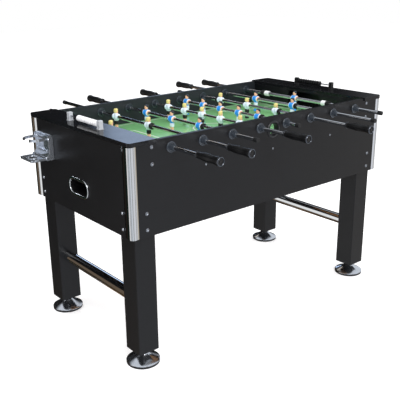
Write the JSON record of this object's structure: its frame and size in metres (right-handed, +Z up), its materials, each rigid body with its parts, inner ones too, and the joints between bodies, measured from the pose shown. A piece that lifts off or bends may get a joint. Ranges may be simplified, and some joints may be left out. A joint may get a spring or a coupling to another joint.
{
  "type": "foosball table",
  "caption": "Foosball table: black cabinet on four legs with chrome corners, sliding and spinning rods carrying two teams of figures, bead scorers and a folding cup holder.",
  "frame": {"origin": "on the floor, under the centre of the whole object's bounding box", "axes": "+X along the table to the right-hand goal, +Y away from the player, +Z up"},
  "size_m": [1.5163, 1.434, 0.944],
  "materials": {
    "black_laminate": "satin black wood-grain laminate on fibreboard",
    "pitch_board": "glossy green printed board",
    "polished_steel": "polished chrome",
    "chrome": "polished chrome",
    "black_plastic": "satin",
    "white_team_plastic": "satin",
    "blue_team_plastic": "satin",
    "white_bead_plastic": "gloss"
  },
  "bodies": {
    "frame": {"near_side_panel": "black_laminate", "far_side_panel": "black_laminate", "playfield": "pitch_board", "left_end_panel": "black_laminate", "right_end_panel": "black_laminate", "left_end_board": "black_laminate", "right_end_board": "black_laminate", "left_stretcher": "chrome", "right_stretcher": "chrome", "cup_holder_bracket": "chrome", "near_left_leg": "black_laminate", "far_left_leg": "black_laminate", "near_right_leg": "black_laminate", "far_right_leg": "black_laminate"},
    "rod_1_slider": {"rod_1_tube": "polished_steel"},
    "rod_1_spinner": {"rod_1_handle": "black_plastic", "rod_1_white_figure_1": "white_team_plastic"},
    "rod_2_slider": {"rod_2_tube": "polished_steel"},
    "rod_2_spinner": {"rod_2_handle": "black_plastic", "rod_2_white_figure_1": "white_team_plastic", "rod_2_white_figure_2": "white_team_plastic"},
    "rod_3_slider": {"rod_3_tube": "polished_steel"},
    "rod_3_spinner": {"rod_3_handle": "black_plastic", "rod_3_blue_figure_1": "blue_team_plastic", "rod_3_blue_figure_2": "blue_team_plastic", "rod_3_blue_figure_3": "blue_team_plastic"},
    "rod_4_slider": {"rod_4_tube": "polished_steel"},
    "rod_4_spinner": {"rod_4_handle": "black_plastic", "rod_4_white_figure_1": "white_team_plastic", "rod_4_white_figure_2": "white_team_plastic", "rod_4_white_figure_3": "white_team_plastic", "rod_4_white_figure_4": "white_team_plastic", "rod_4_white_figure_5": "white_team_plastic"},
    "rod_5_slider": {"rod_5_tube": "polished_steel"},
    "rod_5_spinner": {"rod_5_handle": "black_plastic", "rod_5_blue_figure_1": "blue_team_plastic", "rod_5_blue_figure_2": "blue_team_plastic", "rod_5_blue_figure_3": "blue_team_plastic", "rod_5_blue_figure_4": "blue_team_plastic", "rod_5_blue_figure_5": "blue_team_plastic"},
    "rod_6_slider": {"rod_6_tube": "polished_steel"},
    "rod_6_spinner": {"rod_6_handle": "black_plastic", "rod_6_white_figure_1": "white_team_plastic", "rod_6_white_figure_2": "white_team_plastic", "rod_6_white_figure_3": "white_team_plastic"},
    "rod_7_slider": {"rod_7_tube": "polished_steel"},
    "rod_7_spinner": {"rod_7_handle": "black_plastic", "rod_7_blue_figure_1": "blue_team_plastic", "rod_7_blue_figure_2": "blue_team_plastic"},
    "rod_8_slider": {"rod_8_tube": "polished_steel"},
    "rod_8_spinner": {"rod_8_handle": "black_plastic", "rod_8_blue_figure_1": "blue_team_plastic"},
    "near_left_foot": {"near_left_foot": "chrome"},
    "far_left_foot": {"far_left_foot": "chrome"},
    "near_right_foot": {"near_right_foot": "chrome"},
    "far_right_foot": {"far_right_foot": "chrome"},
    "cup_ring": {"cup_holder_ring": "chrome"},
    "cup_tray": {"cup_holder_tray": "chrome"},
    "left_beads": {"left_score_beads": "white_bead_plastic"},
    "right_beads": {"right_score_beads": "black_plastic"}
  },
  "joints": [
    {"name": "rod_1_slide", "type": "slide", "parent": "frame", "child": "rod_1_slider", "axis": [0, 1, 0], "range_m": [-0.13, 0.07]},
    {"name": "rod_1_spin", "type": "hinge", "parent": "rod_1_slider", "child": "rod_1_spinner", "pos_m": [-0.479, -0.001, 0.868], "axis": [0, 1, 0], "continuous": true},
    {"name": "rod_2_slide", "type": "slide", "parent": "frame", "child": "rod_2_slider", "axis": [0, 1, 0], "range_m": [-0.277, 0.071]},
    {"name": "rod_2_spin", "type": "hinge", "parent": "rod_2_slider", "child": "rod_2_spinner", "pos_m": [-0.329, 0.072, 0.868], "axis": [0, 1, 0], "continuous": true},
    {"name": "rod_3_slide", "type": "slide", "parent": "frame", "child": "rod_3_slider", "axis": [0, 1, 0], "range_m": [-0.127, 0.089]},
    {"name": "rod_3_spin", "type": "hinge", "parent": "rod_3_slider", "child": "rod_3_spinner", "pos_m": [-0.179, -0.012, 0.868], "axis": [0, 1, 0], "continuous": true},
    {"name": "rod_4_slide", "type": "slide", "parent": "frame", "child": "rod_4_slider", "axis": [0, 1, 0], "range_m": [-0.046, 0.054]},
    {"name": "rod_4_spin", "type": "hinge", "parent": "rod_4_slider", "child": "rod_4_spinner", "pos_m": [-0.029, -0.035, 0.868], "axis": [0, 1, 0], "continuous": true},
    {"name": "rod_5_slide", "type": "slide", "parent": "frame", "child": "rod_5_slider", "axis": [0, 1, 0], "range_m": [-0.094, 0.006]},
    {"name": "rod_5_spin", "type": "hinge", "parent": "rod_5_slider", "child": "rod_5_spinner", "pos_m": [0.121, 0.013, 0.868], "axis": [0, 1, 0], "continuous": true},
    {"name": "rod_6_slide", "type": "slide", "parent": "frame", "child": "rod_6_slider", "axis": [0, 1, 0], "range_m": [-0.133, 0.083]},
    {"name": "rod_6_spin", "type": "hinge", "parent": "rod_6_slider", "child": "rod_6_spinner", "pos_m": [0.271, -0.006, 0.868], "axis": [0, 1, 0], "continuous": true},
    {"name": "rod_7_slide", "type": "slide", "parent": "frame", "child": "rod_7_slider", "axis": [0, 1, 0], "range_m": [-0.172, 0.176]},
    {"name": "rod_7_spin", "type": "hinge", "parent": "rod_7_slider", "child": "rod_7_spinner", "pos_m": [0.421, -0.033, 0.868], "axis": [0, 1, 0], "continuous": true},
    {"name": "rod_8_slide", "type": "slide", "parent": "frame", "child": "rod_8_slider", "axis": [0, 1, 0], "range_m": [-0.1, 0.1]},
    {"name": "rod_8_spin", "type": "hinge", "parent": "rod_8_slider", "child": "rod_8_spinner", "pos_m": [0.571, -0.031, 0.868], "axis": [0, 1, 0], "continuous": true},
    {"name": "near_left_foot_screw", "type": "slide", "parent": "frame", "child": "near_left_foot", "axis": [0, 0, 1], "range_m": [-0.02, 0]},
    {"name": "far_left_foot_screw", "type": "slide", "parent": "frame", "child": "far_left_foot", "axis": [0, 0, 1], "range_m": [-0.02, 0]},
    {"name": "near_right_foot_screw", "type": "slide", "parent": "frame", "child": "near_right_foot", "axis": [0, 0, 1], "range_m": [-0.02, 0]},
    {"name": "far_right_foot_screw", "type": "slide", "parent": "frame", "child": "far_right_foot", "axis": [0, 0, 1], "range_m": [-0.02, 0]},
    {"name": "cup_ring_fold", "type": "hinge", "parent": "frame", "child": "cup_ring", "pos_m": [-0.6783, 0.219, 0.826], "axis": [0, 1, 0], "range_deg": [-90, 0]},
    {"name": "cup_tray_fold", "type": "hinge", "parent": "frame", "child": "cup_tray", "pos_m": [-0.6923, 0.219, 0.7505], "axis": [0, 1, 0], "range_deg": [0, 90]},
    {"name": "left_score_slide", "type": "slide", "parent": "frame", "child": "left_beads", "axis": [0, 1, 0], "range_m": [0, 0.0554]},
    {"name": "right_score_slide", "type": "slide", "parent": "frame", "child": "right_beads", "axis": [0, 1, 0], "range_m": [-0.0554, 0]}
  ]
}
